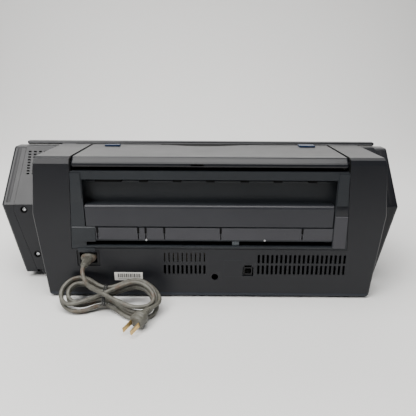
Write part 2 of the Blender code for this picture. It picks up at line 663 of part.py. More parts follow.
def make_carriage():
    left, right = CARRIAGE_X
    carriage = box("carriage", (left, -80, 115.5), (right, -21, 160), "inner_black")
    join(carriage, box("carriage_lug", (left, -22, 140), (right, -2.8, 160)))
    cut(carriage, disc("shaft_bore", (204, *CARRIAGE_SHAFT), 5.3, 160, (1, 0, 0), sides=20))
    wells = [((left + 16.2 + 27.8 * i, -50.5, 170), (25.4, 51, 90)) for i in range(4)]
    cut(carriage, blocks("cartridge_wells", wells))
    looks = ("ink_black", "ink_cyan", "ink_magenta", "ink_yellow")
    for number, look in enumerate(looks):
        x = left + 16.2 + 27.8 * number
        outline = [(-75.4, 125.5), (-75.4, 172), (-70, 178), (-25.6, 178), (-25.6, 125.5)]
        bar(f"cartridge_{look[4:]}", outline, x - 12.2, x + 12.2, look)
    low, high = SIDE_PLATES
    rail = [(0, 0), (5, 0), (5, high - low - 2.5), (0, high - low - 2.5)]
    turned("carriage_rail", rail, (low + 2.0, *CARRIAGE_SHAFT), (1, 0, 0), "steel", 20)
    for name, x in (("idler_pulley", BELT_PULLEYS[0]), ("motor_pulley", BELT_PULLEYS[1])):
        profile = [(0, 0), (8.6, 0), (8.6, 0.9), (6.4, 0.9), (6.4, 6.5), (8.6, 6.5), (8.6, 7.4), (2.0, 7.4)]
        profile += [(2.0, 12.4), (0, 12.4)]
        turned(name, profile, (x, -2.3, BELT_Z), (0, 1, 0), "white_plastic", 20)
    ends = []
    for radius in (7.8, 6.8):
        tips = [disc(f"belt_end_{radius}_{x:.0f}", (x, 1.4, BELT_Z), radius, 4.6 + 10 * (radius < 7), (0, 1, 0))
                for x in BELT_PULLEYS]
        ends.append(tips)
    left, right = BELT_PULLEYS
    belt = box("carriage_belt", (left, -0.9, BELT_Z - 7.8), (right, 3.7, BELT_Z + 7.8), "rubber")
    join(belt, *ends[0])
    cut(belt, box("belt_inside", (left, -5, BELT_Z - 6.8), (right, 8, BELT_Z + 6.8)), *ends[1])
    motor = [(0, 0), (14, 0), (14, 32), (0, 32)]
    turned("carriage_motor", motor, (BELT_PULLEYS[1], 10.6, BELT_Z), (0, 1, 0), "steel", 20)


def make_electronics():
    unit = box("power_supply", (90, 12, 9), (240, 88, 58), "steel")
    vents = [((100 + 12 * i, 50, 58), (5, 50, 8)) for i in range(11)]
    cut(unit, blocks("supply_vents", vents))
    box("main_board", (-210, 14, 16), (-60, 90, 17.6), "board_green")
    socket = box("usb_socket", (FEED_X - 63.6, 144, 36.6), (FEED_X - 50.7, 159.6, 48.6), "inner_black")
    cut(socket, box("usb_mouth", (FEED_X - 62.0, 148, 38.2), (FEED_X - 52.3, 170, 47.0)))
    inlet = box("ac_inlet", (FEED_X + 160.2, 128, 51), (FEED_X + 191.8, 160, 73.8), "inner_black")
    cut(inlet, box("inlet_mouth", (FEED_X + 163.5, 142, 54.5), (FEED_X + 188.5, 175, 71)))


def lean(down, out=0.0):
    """The (y, z) of a point in the hank: down its lean from the top, and out from its lowest layer."""
    run = (LEAN_TOP[1] - CORD_RADIUS - LEAN_BEND * (1 - math.cos(LEAN))) / math.sin(LEAN)
    straight = min(down, run)
    bent = min(max(down - run, 0.0), LEAN_BEND * LEAN)
    flat = max(down - run - LEAN_BEND * LEAN, 0.0)
    slope = LEAN - bent / LEAN_BEND
    y = LEAN_TOP[0] + straight * math.cos(LEAN) + LEAN_BEND * (math.sin(LEAN) - math.sin(slope)) + flat
    z = LEAN_TOP[1] - straight * math.sin(LEAN) - LEAN_BEND * (math.cos(slope) - math.cos(LEAN))
    return y + out * math.sin(slope), z + out * math.cos(slope)


def hank_lobe(side, reach, half, middle, steps=14):
    """The middle of the strands round one lobe of the hank, from the tie out and back to it."""
    beside = 8.6
    run = reach - half
    points = []
    for step in range(steps):
        part = step / steps
        if abs(part - 0.5) < 0.22:
            turn = (0.5 - part) / 0.22 * math.pi / 2
            along, across = run + half * math.cos(turn), half * math.sin(turn)
        else:
            rise = min(part, 1 - part) / 0.28
            along = run * rise
            across = beside + (half - beside) * (1 - math.cos(math.pi * rise)) / 2
            across = math.copysign(across, 0.5 - part)
        sink = (middle - TIE_DOWN) * (along / reach) ** 2 * (3 - 2 * along / reach)
        points.append((TIE_X + side * along, *lean(TIE_DOWN + sink + side * across, 3.6)))
    return points


def make_cord():
    """The mains lead, tied into a hank that leans on the machine's rear, with its plug on the floor."""
    x = FEED_X + 176.0
    plug_in = [(0, 0), (6.8, 0), (6.8, 22), (5.4, 26), (4.2, 40), (0, 40)]
    turned("inlet_connector", plug_in, (x, 143.5, 62.8), (0, 1, -0.04), "cord_grey", 16)
    lead = [(x, 184.2, 61.2), (x, 192, 60), (x - 3, 203, 51), (x - 9, 209, 41), (x - 16, 211, 33.5)]
    tube("cord_lead", lead, CORD_RADIUS, "cord_grey")
    hank = hank_lobe(1, 60.0, 22.6, 29.5) + hank_lobe(-1, 74.0, 29.0, 44.0)
    tube("cord_hank", hank, 2 * CORD_RADIUS, "cord_grey", closed=True)
    tie = []
    for step in range(12):
        turn = math.tau * step / 12
        tie.append((TIE_X, *lean(TIE_DOWN + 17.0 * math.cos(turn), 3.6 + 9.2 * math.sin(turn))))
    tube("cord_tie", tie, 1.1, "rubber", closed=True, sides=1)
    start = Vector(PLUG_START)
    tail = [(46.5, 199.0, 7.0), (46.5, 205.0, 11.5), (50.5, 211.5, 17.5), (57.5, 215.0, 19.8)]
    tail.append(start - 0.6 * PLUG_HEADING)
    tube("cord_tail", tail, CORD_RADIUS, "cord_grey")
    grip = [(0, 0), (4.2, 0), (5.6, 12), (9.6, 17), (10.4, 30), (0, 30)]
    turned("mains_plug", grip, start, PLUG_HEADING, "cord_grey", 16)
    aside = Vector((PLUG_HEADING.y, -PLUG_HEADING.x, 0)).normalized()
    upward = aside.cross(PLUG_HEADING)
    tip = start + PLUG_HEADING * 30.4
    for name, shift in (("plug_blade_right", 6.3), ("plug_blade_left", -6.3)):
        base = tip + aside * shift
        corners = [base + PLUG_HEADING * h + aside * a + upward * z
                   for h in (0, 17) for a in (-0.75, 0.75) for z in (-3.1, 3.1)]
        hull(name, corners, "brass")


make_base_case()
make_upper_housing()
make_end_cover("right_end_cover", 1)
make_end_cover("left_end_cover", -1)
make_feet()
make_lid()
make_controls()
make_tray()
make_feeder_housing()
make_rear_frame()
make_jam_door()
make_paper_support()
make_feeder_works()
make_chassis()
make_paper_path()
make_carriage()
make_electronics()
make_cord()
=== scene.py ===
"""Looks for a wide desktop inkjet machine, seen from behind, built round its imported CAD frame."""

import json
import math

import bmesh
import bpy
from mathutils import Matrix, Vector


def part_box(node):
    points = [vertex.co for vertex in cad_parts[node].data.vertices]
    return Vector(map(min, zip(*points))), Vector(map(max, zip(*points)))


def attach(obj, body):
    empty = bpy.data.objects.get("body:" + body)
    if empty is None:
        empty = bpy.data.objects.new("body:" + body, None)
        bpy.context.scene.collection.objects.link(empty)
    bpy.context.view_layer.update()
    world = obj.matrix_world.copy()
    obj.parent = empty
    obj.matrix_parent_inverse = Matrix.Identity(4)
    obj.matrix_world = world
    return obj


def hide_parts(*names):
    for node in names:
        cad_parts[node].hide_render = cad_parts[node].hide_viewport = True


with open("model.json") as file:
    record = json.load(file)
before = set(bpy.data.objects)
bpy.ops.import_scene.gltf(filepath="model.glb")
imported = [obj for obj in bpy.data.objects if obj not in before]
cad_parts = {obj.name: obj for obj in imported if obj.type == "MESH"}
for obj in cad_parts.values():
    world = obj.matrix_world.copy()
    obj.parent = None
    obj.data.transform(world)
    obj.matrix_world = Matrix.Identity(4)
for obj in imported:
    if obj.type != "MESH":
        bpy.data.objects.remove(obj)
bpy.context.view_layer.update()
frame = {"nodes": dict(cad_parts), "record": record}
NODES = frame["nodes"]

MM = 0.001
FEED_X = -15.2  # the feeder's centre plane, in millimetres
REAR_Y = 161.0

# ---------------------------------------------------------------- camera

CAMERA_AT = (-0.0152, 0.7235, 0.3154)
CAMERA_PITCH, CAMERA_YAW, CAMERA_ROLL = 17.32, 0.2, 0.3
CAMERA_LENS, CAMERA_SENSOR = 36.35, 36.0


def make_camera():
    data = bpy.data.cameras.new("camera")
    data.lens = CAMERA_LENS
    data.sensor_width = CAMERA_SENSOR
    data.clip_start = 0.01
    data.clip_end = 20.0
    camera = bpy.data.objects.new("camera", data)
    bpy.context.scene.collection.objects.link(camera)
    turn = (
        Matrix.Rotation(math.radians(180 + CAMERA_YAW), 4, "Z")
        @ Matrix.Rotation(math.radians(90 - CAMERA_PITCH), 4, "X")
        @ Matrix.Rotation(math.radians(CAMERA_ROLL), 4, "Z")
    )
    camera.matrix_world = Matrix.Translation(CAMERA_AT) @ turn
    bpy.context.scene.camera = camera


# ---------------------------------------------------------------- materials


class Shader:
    """A Principled material, with helpers that chain procedural nodes onto it."""

    def __init__(self, name, colour, roughness, metallic=0.0, **sockets):
        self.material = bpy.data.materials.new(name)
        self.material.use_nodes = True
        self.tree = self.material.node_tree
        self.bsdf = self.tree.nodes["Principled BSDF"]
        self.bsdf.inputs["Base Color"].default_value = (*colour, 1.0)
        self.bsdf.inputs["Roughness"].default_value = roughness
        self.bsdf.inputs["Metallic"].default_value = metallic
        for key, value in sockets.items():
            self.bsdf.inputs[key.replace("_", " ")].default_value = value
        self.place = self.add("ShaderNodeTexCoord").outputs["Object"]

    def add(self, kind, **settings):
        node = self.tree.nodes.new(kind)
        for key, value in settings.items():
            setattr(node, key, value)
        return node

    def wire(self, source, node, socket):
        self.tree.links.new(source, node.inputs[socket])

    def noise(self, scale, detail=3.0, rough=0.55, stretch=None):
        node = self.add("ShaderNodeTexNoise")
        node.inputs["Scale"].default_value = scale
        node.inputs["Detail"].default_value = detail
        node.inputs["Roughness"].default_value = rough
        place = self.place
        if stretch:
            mapping = self.add("ShaderNodeMapping")
            mapping.inputs["Scale"].default_value = stretch
            self.wire(place, mapping, "Vector")
            place = mapping.outputs["Vector"]
        self.wire(place, node, "Vector")
        return node.outputs["Fac"]

    def ramp(self, source, stops):
        node = self.add("ShaderNodeValToRGB")
        band = node.color_ramp
        while len(band.elements) < len(stops):
            band.elements.new(0.5)
        for element, (at, value) in zip(band.elements, stops):
            element.position = at
            element.color = (*value, 1.0) if isinstance(value, tuple) else (value, value, value, 1.0)
        self.wire(source, node, "Fac")
        return node.outputs["Color"]

    def spread(self, source, low, high):
        node = self.add("ShaderNodeMapRange")
        node.inputs["To Min"].default_value = low
        node.inputs["To Max"].default_value = high
        self.wire(source, node, "Value")
        return node.outputs["Result"]

    def bump(self, source, depth, strength=1.0):
        node = self.add("ShaderNodeBump")
        node.inputs["Distance"].default_value = depth
        node.inputs["Strength"].default_value = strength
        self.wire(source, node, "Height")
        previous = self.bsdf.inputs["Normal"].links
        if previous:
            self.tree.links.new(previous[0].from_socket, node.inputs["Normal"])
        self.tree.links.new(node.outputs["Normal"], self.bsdf.inputs["Normal"])
        return self


def plastic(name, dark, light, roughness, grain=2600.0, grain_depth=0.00002, smears=6.0, shine=0.34):
    """Moulded plastic: fine spark-eroded grain, faint cloudy wear in colour and gloss."""
    made = Shader(name, dark, roughness, Specular_IOR_Level=shine)
    cloud = made.noise(smears, 4.0, 0.6)
    made.wire(made.ramp(cloud, [(0.35, dark), (0.75, light)]), made.bsdf, "Base Color")
    gloss = made.spread(made.noise(smears * 2.5, 3.0), roughness - 0.07, roughness + 0.09)
    made.wire(gloss, made.bsdf, "Roughness")
    made.bump(made.noise(grain, 2.0), grain_depth, 0.5)
    return made.material


def metal(name, colour, roughness, brushed=(1.0, 60.0, 60.0)):
    made = Shader(name, colour, roughness, 1.0)
    streak = made.noise(90.0, 3.0, 0.6, brushed)
    made.wire(made.spread(streak, roughness - 0.08, roughness + 0.14), made.bsdf, "Roughness")
    dull = tuple(c * 0.82 for c in colour)
    made.wire(made.ramp(streak, [(0.3, dull), (0.7, colour)]), made.bsdf, "Base Color")
    made.bump(streak, 0.00001, 0.4)
    return made.material


CASE = plastic("case_black", (0.0048, 0.0053, 0.0076), (0.0074, 0.0080, 0.0108), 0.35)
FRAME = plastic("frame_black", (0.0110, 0.0132, 0.0162), (0.0155, 0.0185, 0.0225), 0.46, 1500.0, 0.00004)
INNER = plastic("inner_black", (0.006, 0.006, 0.007), (0.011, 0.011, 0.012), 0.55)
GREY = plastic("tray_grey", (0.036, 0.037, 0.040), (0.050, 0.051, 0.055), 0.42)
KEYS = plastic("button_grey", (0.26, 0.26, 0.27), (0.32, 0.32, 0.33), 0.34)
WHITE = plastic("white_plastic", (0.58, 0.57, 0.54), (0.66, 0.65, 0.62), 0.42)
BLUE = plastic("catch_blue", (0.003, 0.014, 0.045), (0.005, 0.022, 0.066), 0.40, shine=0.2)
RUBBER = plastic("rubber", (0.020, 0.020, 0.020), (0.036, 0.036, 0.036), 0.78, 900.0, 0.00006)
BOARD = plastic("board_green", (0.012, 0.120, 0.050), (0.025, 0.180, 0.080), 0.40)
STEEL = metal("steel", (0.56, 0.57, 0.58), 0.30)
BRASS = metal("brass", (0.62, 0.43, 0.18), 0.30)
GAP = plastic("gap_black", (0.002, 0.002, 0.002), (0.003, 0.003, 0.003), 0.80, shine=0.1)
FOOT_BAND = plastic("foot_band", (0.010, 0.013, 0.020), (0.014, 0.018, 0.027), 0.40)
PANEL = plastic("panel_black", (0.034, 0.034, 0.040), (0.044, 0.044, 0.050), 0.48, 1500.0, 0.00004)
DOOR = plastic("door_black", (0.018, 0.0185, 0.023), (0.025, 0.026, 0.031), 0.34, 1500.0, 0.00003)
RIM = plastic("rim_black", (0.006, 0.006, 0.008), (0.009, 0.009, 0.012), 0.42)
CATCH_GREY = plastic("catch_grey", (0.060, 0.070, 0.080), (0.080, 0.090, 0.100), 0.45)
LABEL = plastic("label_paper", (0.60, 0.58, 0.54), (0.70, 0.69, 0.66), 0.55)
SCREEN = plastic("screen_tan", (0.075, 0.062, 0.042), (0.110, 0.090, 0.062), 0.55)
LAMP = plastic("lamp_green", (0.02, 0.11, 0.05), (0.03, 0.16, 0.08), 0.18)
INKS = {
    "ink_black": plastic("ink_black", (0.015, 0.015, 0.015), (0.025, 0.025, 0.025), 0.35),
    "ink_cyan": plastic("ink_cyan", (0.015, 0.210, 0.450), (0.022, 0.270, 0.520), 0.35),
    "ink_magenta": plastic("ink_magenta", (0.430, 0.025, 0.150), (0.520, 0.035, 0.190), 0.35),
    "ink_yellow": plastic("ink_yellow", (0.620, 0.440, 0.015), (0.720, 0.520, 0.025), 0.35),
}


def cord_skin():
    """Old grey flexible plastic: brown stains in patches and fine grime."""
    made = Shader("cord_grey", (0.13, 0.125, 0.105), 0.46, Specular_IOR_Level=0.35)
    stain = made.noise(46.0, 5.0, 0.68)
    base = made.ramp(made.noise(140.0, 3.0), [(0.30, (0.062, 0.060, 0.050)), (0.62, (0.118, 0.115, 0.097))])
    brown = made.add("ShaderNodeMix", data_type="RGBA")
    made.wire(made.ramp(stain, [(0.54, 0.0), (0.68, 0.75)]), brown, "Factor")
    made.tree.links.new(base, brown.inputs["A"])
    brown.inputs[7].default_value = (0.085, 0.046, 0.026, 1.0)
    made.tree.links.new(brown.outputs["Result"], made.bsdf.inputs["Base Color"])
    made.wire(made.spread(stain, 0.34, 0.62), made.bsdf, "Roughness")
    made.bump(made.noise(900.0, 3.0), 0.00005, 0.6)
    return made.material


CORD_SKIN = cord_skin()
BY_SLOT = {
    "case_black": CASE,
    "frame_black": FRAME,
    "inner_black": INNER,
    "tray_grey": GREY,
    "button_grey": KEYS,
    "steel": STEEL,
    "rubber": RUBBER,
    "white_plastic": WHITE,
    "board_green": BOARD,
    "catch_blue": BLUE,
    "brass": BRASS,
    **INKS,
}


def finish_cad_nodes():
    """Gives every CAD node that stays its own procedural finish."""
    for part in frame["record"]["subparts"]:
        obj = NODES[part["node"]]
        look = BY_SLOT.get(part["material_slot"])
        if look is None:
            continue
        for index in range(len(obj.material_slots)):
            obj.material_slots[index].material = look
        step = obj.modifiers.new("smooth", "NODES")
        step.node_group = ROUNDED if part["node"] in ROUNDED_NODES else GENTLE
        if part["node"] in ROUNDED_NODES:
            even = obj.modifiers.new("even", "WEIGHTED_NORMAL")
            even.keep_sharp = True
            even.weight = 100


def smoothing(name, degrees):
    """A modifier tree that smooths faces across edges flatter than the given angle."""
    tree = bpy.data.node_groups.new(name, "GeometryNodeTree")
    tree.interface.new_socket("Geometry", in_out="INPUT", socket_type="NodeSocketGeometry")
    tree.interface.new_socket("Geometry", in_out="OUTPUT", socket_type="NodeSocketGeometry")
    start, end = tree.nodes.new("NodeGroupInput"), tree.nodes.new("NodeGroupOutput")
    faces = tree.nodes.new("GeometryNodeSetShadeSmooth")
    edges = tree.nodes.new("GeometryNodeSetShadeSmooth")
    edges.domain = "EDGE"
    angle = tree.nodes.new("GeometryNodeInputMeshEdgeAngle")
    flat = tree.nodes.new("FunctionNodeCompare")
    flat.operation = "LESS_THAN"
    flat.inputs["B"].default_value = math.radians(degrees)
    tree.links.new(angle.outputs["Unsigned Angle"], flat.inputs["A"])
    tree.links.new(flat.outputs["Result"], edges.inputs["Shade Smooth"])
    tree.links.new(start.outputs[0], faces.inputs["Geometry"])
    tree.links.new(faces.outputs["Geometry"], edges.inputs["Geometry"])
    tree.links.new(edges.outputs["Geometry"], end.inputs[0])
    return tree


GENTLE, ROUNDED = smoothing("smooth_gentle", 27), smoothing("smooth_rounded", 50)
ROUNDED_NODES = ("printer_lid", "paper_support", "output_tray", "power_supply")


# ---------------------------------------------------------------- mesh helpers

MOVES_WITH_CASE = "machine"


def piece(name, bm, material, body=MOVES_WITH_CASE, smooth=40.0):
    """Makes an object of a mesh in millimetres, and lets it ride on a body."""
    bmesh.ops.scale(bm, vec=(MM, MM, MM), verts=bm.verts)
    bmesh.ops.recalc_face_normals(bm, faces=bm.faces)
    mesh = bpy.data.meshes.new(name)
    bm.to_mesh(mesh)
    bm.free()
    mesh.materials.append(material)
    mesh.shade_smooth()
    mesh.set_sharp_from_angle(angle=math.radians(smooth))
    obj = bpy.data.objects.new(name, mesh)
    bpy.context.scene.collection.objects.link(obj)
    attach(obj, body)
    return obj


def add_block(bm, low, high, edge=0.3, segments=2):
    """Adds a box with rounded edges to the mesh."""
    size = Vector(high) - Vector(low)
    put = Matrix.Translation((Vector(high) + Vector(low)) / 2) @ Matrix.Diagonal((*size, 1.0))
    made = bmesh.ops.create_cube(bm, size=1.0, matrix=put)
    edges = {e for v in made["verts"] for e in v.link_edges}
    if edge:
        bmesh.ops.bevel(
            bm,
            geom=list(edges),
            offset=min(edge, min(size) * 0.45),
            segments=segments,
            affect="EDGES",
            profile=0.5,
        )


def blocks(name, boxes, material, body=MOVES_WITH_CASE, edge=0.3):
    bm = bmesh.new()
    for low, high in boxes:
        add_block(bm, low, high, edge)
    return piece(name, bm, material, body)


def arc(centre, radius, start, end, steps=8):
    """(y, z) points along an arc, angles in degrees from +Y towards +Z."""
    found = []
    for step in range(steps + 1):
        turn = math.radians(start + (end - start) * step / steps)
        found.append((centre[0] + radius * math.cos(turn), centre[1] + radius * math.sin(turn)))
    return found


def add_extrusion(bm, outline, low_x, high_x):
    """Adds a closed (y, z) outline carried along X."""
    ends = [[bm.verts.new((x, y, z)) for y, z in outline] for x in (low_x, high_x)]
    count = len(outline)
    for i in range(count):
        bm.faces.new((ends[0][i], ends[0][(i + 1) % count], ends[1][(i + 1) % count], ends[1][i]))
    bm.faces.new(ends[0][::-1])
    bm.faces.new(ends[1])


def frames_along(points):
    """Unit tangents and a side direction for each point, carried along without twisting."""
    tangents = []
    for i in range(len(points)):
        ahead = points[min(i + 1, len(points) - 1)] - points[max(i - 1, 0)]
        tangents.append(ahead.normalized())
    side = tangents[0].orthogonal().normalized()
    found = []
    for tangent in tangents:
        side = (side - tangent * side.dot(tangent)).normalized()
        found.append((tangent, side, tangent.cross(side)))
    return found


def add_sweep(bm, points, section, closed=False):
    """Adds a tube whose section, a list of (side, up) points, follows the path."""
    rings = []
    for point, (_, side, up) in zip(points, frames_along(points)):
        rings.append([bm.verts.new(point + side * a + up * b) for a, b in section])
    count = len(section)
    pairs = list(zip(rings, rings[1:]))
    if closed:
        pairs.append((rings[-1], rings[0]))
    for a, b in pairs:
        for i in range(count):
            bm.faces.new((a[i], a[(i + 1) % count], b[(i + 1) % count], b[i]))
    if not closed:
        bm.faces.new(rings[0][::-1])
        bm.faces.new(rings[-1])


def add_turned(bm, profile, start, axis, steps=28):
    """Adds a turned solid: (radius, distance along the axis) pairs."""
    turn = Vector(axis).to_track_quat("Z", "Y").to_matrix()
    rings = []
    for radius, along in profile:
        if radius == 0:
            rings.append([bm.verts.new(Vector(start) + turn @ Vector((0, 0, along)))])
            continue
        ring = []
        for step in range(steps):
            spin = math.tau * step / steps
            local = Vector((radius * math.cos(spin), radius * math.sin(spin), along))
            ring.append(bm.verts.new(Vector(start) + turn @ local))
        rings.append(ring)
    for a, b in zip(rings, rings[1:]):
        for i in range(steps):
            corners = [a[i % len(a)], a[(i + 1) % len(a)], b[(i + 1) % len(b)], b[i % len(b)]]
            bm.faces.new(list(dict.fromkeys(corners)))


def round_section(radius, sides=14, groove=0.0):
    """A round section, with a shallow groove along two sides where asked."""
    found = []
    for step in range(sides):
        turn = math.tau * step / sides
        dip = groove * math.exp(-((math.sin(turn) / 0.30) ** 2))
        found.append(((radius - dip) * math.cos(turn), (radius - dip) * math.sin(turn)))
    return found


def smooth_route(points, per_span=5):
    """A smooth curve through the points, as closely spaced points."""
    route = [2 * points[0] - points[1], *points, 2 * points[-1] - points[-2]]
    found = []
    for p0, p1, p2, p3 in zip(route, route[1:], route[2:], route[3:]):
        for step in range(per_span):
            t = step / per_span
            found.append(
                0.5 * (2 * p1 + (p2 - p0) * t + (2 * p0 - 5 * p1 + 4 * p2 - p3) * t**2
                       + (3 * p1 - p0 - 3 * p2 + p3) * t**3)
            )
    found.append(points[-1])
    return found


# ---------------------------------------------------------------- mains lead

CORD = 5.8
LEAN_TOP = (REAR_Y + 3.0, 33.0)
LEAN = math.radians(34.0)
LEAN_BEND = 50.0
TIE_X, TIE_DOWN = 131.0, 32.0
INLET_X = FEED_X + 176.0
CORD_EXIT = Vector((INLET_X, 183.5, 61.2))
PLUG_START = Vector((65.0, 224.0, 16.9))
PLUG_HEADING = Vector((0.5, 0.866, -0.2)).normalized()
LAYER = 6.0
SLOTS = [(5.2, 10.2, 0), (-5.2, 3.4, 0), (-6.5, 3.4, 1), (4.0, 10.2, 1)]
LOBES = {1: (61.5, 23.4, 27.5), -1: (76.0, 30.2, 44.0)}


def lean(down, out=0.0):
    """The (y, z) of a point in the hank: down its lean from the top, and out from its lowest layer."""
    run = (LEAN_TOP[1] - 3.0 - LEAN_BEND * (1 - math.cos(LEAN))) / math.sin(LEAN)
    straight = min(down, run)
    bent = min(max(down - run, 0.0), LEAN_BEND * LEAN)
    flat = max(down - run - LEAN_BEND * LEAN, 0.0)
    slope = LEAN - bent / LEAN_BEND
    y = LEAN_TOP[0] + straight * math.cos(LEAN) + LEAN_BEND * (math.sin(LEAN) - math.sin(slope)) + flat
    z = LEAN_TOP[1] - straight * math.sin(LEAN) - LEAN_BEND * (math.cos(slope) - math.cos(LEAN))
    return y + out * math.sin(slope), z + out * math.cos(slope)


def eased(x):
    x = min(max(x, 0.0), 1.0)
    return x * x * (3 - 2 * x)


def in_lobe(side, part, grow, beside, layer):
    """A point of a strand that goes from the tie round one lobe of the hank and back, part 0 to 1."""
    reach, half, middle = LOBES[side]
    reach, half = reach + grow, half + grow
    run = reach - half
    if abs(part - 0.5) < 0.22:
        turn = (0.5 - part) / 0.22 * math.pi / 2
        along, across = run + half * math.cos(turn), half * math.sin(turn)
    else:
        rise = min(part, 1 - part) / 0.28
        along = run * rise
        across = beside + (half - beside) * (1 - math.cos(math.pi * rise)) / 2
        across = math.copysign(across, 0.5 - part)
    down = TIE_DOWN + (middle - TIE_DOWN) * eased(along / reach) + side * across
    return Vector((TIE_X + side * along, *lean(down, LAYER * layer)))


def cord_route():
    """The whole lead: over the tie, once round on top, four turns through both lobes, then the plug."""
    x = INLET_X
    route = [CORD_EXIT, Vector((x, 190.0, 60.6)), Vector((x - 1.5, 198.0, 56.0))]
    route += [Vector((x - 6, 204.5, 48.5))]
    route += [Vector((x - 13.0, 207.5, 40.0)), Vector((x - 21.5, 207.0, 33.0)), Vector((131.0, 205.8, 28.6))]
    steps = 24
    for step in range(3, 22):
        round_end = math.sin(math.pi * step / steps)
        route.append(in_lobe(-1, 1 - step / steps, -4.0, 3.4, 2.5 - 0.1 * round_end))
    for turn in range(3, -1, -1):
        here, after = SLOTS[turn], SLOTS[max(turn - 1, 0)]
        for side in (1, -1):
            for step in range(steps):
                part = step / steps
                if turn == 3 and side == 1 and step < 6 or turn == 0 and side == -1 and part > 0.42:
                    continue
                shift = eased((part - 0.25) / 0.5) if side == -1 else 0.0
                slot = [a + (b - a) * shift for a, b in zip(here, after)]
                if turn == 3 and side == 1:
                    slot[2] += 1.1 * (1 - eased(part / 0.6))
                route.append(in_lobe(side, part, *slot))
    route += [Vector((50.6, 199.0, 14.6)), Vector((50.4, 206.0, 16.4)), Vector((53.0, 212.8, 17.8))]
    route += [Vector((58.0, 218.8, 17.9)), PLUG_START + 1.5 * PLUG_HEADING]
    for _ in range(4):
        between = [(a + b * 2 + c) / 4 for a, b, c in zip(route[4:], route[5:], route[6:])]
        route = route[:5] + between + route[-1:]
    return route


def make_cord():
    path = smooth_route(cord_route())
    bm = bmesh.new()
    add_sweep(bm, path, round_section(CORD / 2, 14, 0.45))
    cord = piece("mains_cord", bm, CORD_SKIN)
    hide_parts("cord_lead", "cord_hank", "cord_tail")

    bm = bmesh.new()
    profile = [(0.0, 0.0), (11.2, 0.0), (11.6, 0.8), (11.6, 17.0), (10.6, 19.2), (7.2, 20.4)]
    along = 20.4
    for rib in range(6):
        thick = 6.9 - 0.42 * rib
        profile += [(thick - 1.3, along + 0.3), (thick - 1.3, along + 1.2)]
        profile += [(thick, along + 1.6), (thick, along + 3.3)]
        along += 3.35
    profile += [(3.6, along + 0.5), (3.3, along + 1.2), (0.0, along + 1.2)]
    add_turned(bm, profile, (INLET_X, 143.5, 62.8), (0, 1, -0.04))
    relief = piece("inlet_relief", bm, CORD_SKIN)
    for vertex in relief.data.vertices:
        if vertex.co.y < 0.1632:
            vertex.co.z = 0.0628 + (vertex.co.z - 0.0628) * 0.64
    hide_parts("inlet_connector")

    bm = bmesh.new()
    band = []
    for step in range(28):
        turn = math.tau * step / 28
        band.append(Vector((TIE_X, *lean(TIE_DOWN + 15.6 * math.cos(turn), 5.2 + 10.6 * math.sin(turn)))))
    for shift in (-1.3, 1.3):
        moved = [point + Vector((shift, 0, 0.3 * shift)) for point in band]
        add_sweep(bm, moved, round_section(0.85, 8), closed=True)
    knot = Vector((TIE_X, *lean(TIE_DOWN + 10.0, 15.8)))
    for sign in (-1, 1):
        ends = []
        for step in range(16):
            t = step / 15
            spin = sign * math.pi / 2 + 5.0 * t
            wide = 1.0 + 3.0 * max(t - 0.6, 0.0)
            away = (wide * math.cos(spin) - 2.0 * t, 15.0 * t, wide * math.sin(spin) - 4.0 * t)
            ends.append(knot + Vector(away))
        add_sweep(bm, ends, round_section(0.7, 8))
    tie = piece("cord_tie_wire", bm, RUBBER)
    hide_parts("cord_tie")

    bm = bmesh.new()
    aside = Vector((PLUG_HEADING.y, -PLUG_HEADING.x, 0)).normalized()
    upward = aside.cross(PLUG_HEADING)
    rings = []
    sections = [(0.0, 3.6, 3.6)]
    for rib in range(3):
        wide = 4.4 + 0.5 * rib
        at = 0.8 + 3.4 * rib
        sections += [(at, wide, wide), (at + 1.7, wide + 0.1, wide + 0.1)]
        sections += [(at + 2.0, wide - 0.9, wide - 0.9)]
        sections += [(at + 3.0, wide - 0.9, wide - 0.9)]
    sections += [(11.6, 6.0, 5.8), (13.2, 8.0, 7.4), (15.5, 9.4, 8.6), (18.0, 9.7, 8.8), (18.7, 9.2, 8.3)]
    sections += [(19.6, 9.2, 8.3), (20.3, 9.8, 8.9), (21.6, 9.8, 8.9), (22.3, 9.3, 8.4), (23.2, 9.3, 8.4)]
    sections += [(23.9, 10.0, 9.0), (28.6, 10.3, 9.3), (29.6, 9.8, 8.8), (30.0, 9.0, 8.0), (30.0, 0.5, 0.5)]
    for along, wide, high in sections:
        ring = []
        for step in range(28):
            turn = math.tau * step / 28
            power = 0.75 if wide > 7 else 1.0
            a = math.copysign(abs(math.cos(turn)) ** power, math.cos(turn)) * wide
            b = math.copysign(abs(math.sin(turn)) ** power, math.sin(turn)) * high
            ring.append(bm.verts.new(PLUG_START + PLUG_HEADING * along + aside * a + upward * b))
        rings.append(ring)
    for a, b in zip(rings, rings[1:]):
        for i in range(28):
            bm.faces.new((a[i], a[(i + 1) % 28], b[(i + 1) % 28], b[i]))
    bm.faces.new(rings[0][::-1])
    bm.faces.new(rings[-1])
    plug = piece("mains_plug_body", bm, CORD_SKIN)
    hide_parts("mains_plug")


# ---------------------------------------------------------------- details of the rear


def fx(across):
    """X of a point given from the feeder's centre plane."""
    return FEED_X + across


def make_seams():
    """The dark gaps round the paper support and along the foot of the feeder."""
    bm = bmesh.new()
    outer = [(42.0, 210.9), (152.2, 210.95), (158.7, 208.3), (161.25, 201.8), (161.25, 192.6)]
    inner = [(160.4, 192.6), (160.4, 201.5), (158.0, 207.4), (151.8, 210.3), (42.0, 210.3)]
    for side in (-1, 1):
        near, far = sorted((fx(side * 190.3), fx(side * 192.1)))
        add_extrusion(bm, outer + inner, near, far)
    piece("support_side_seams", bm, GAP)
    band = ((fx(-236.5), 159.8, 3.1), (fx(236.5), 161.25, 7.4))
    blocks("feeder_foot_band", [band], FOOT_BAND)


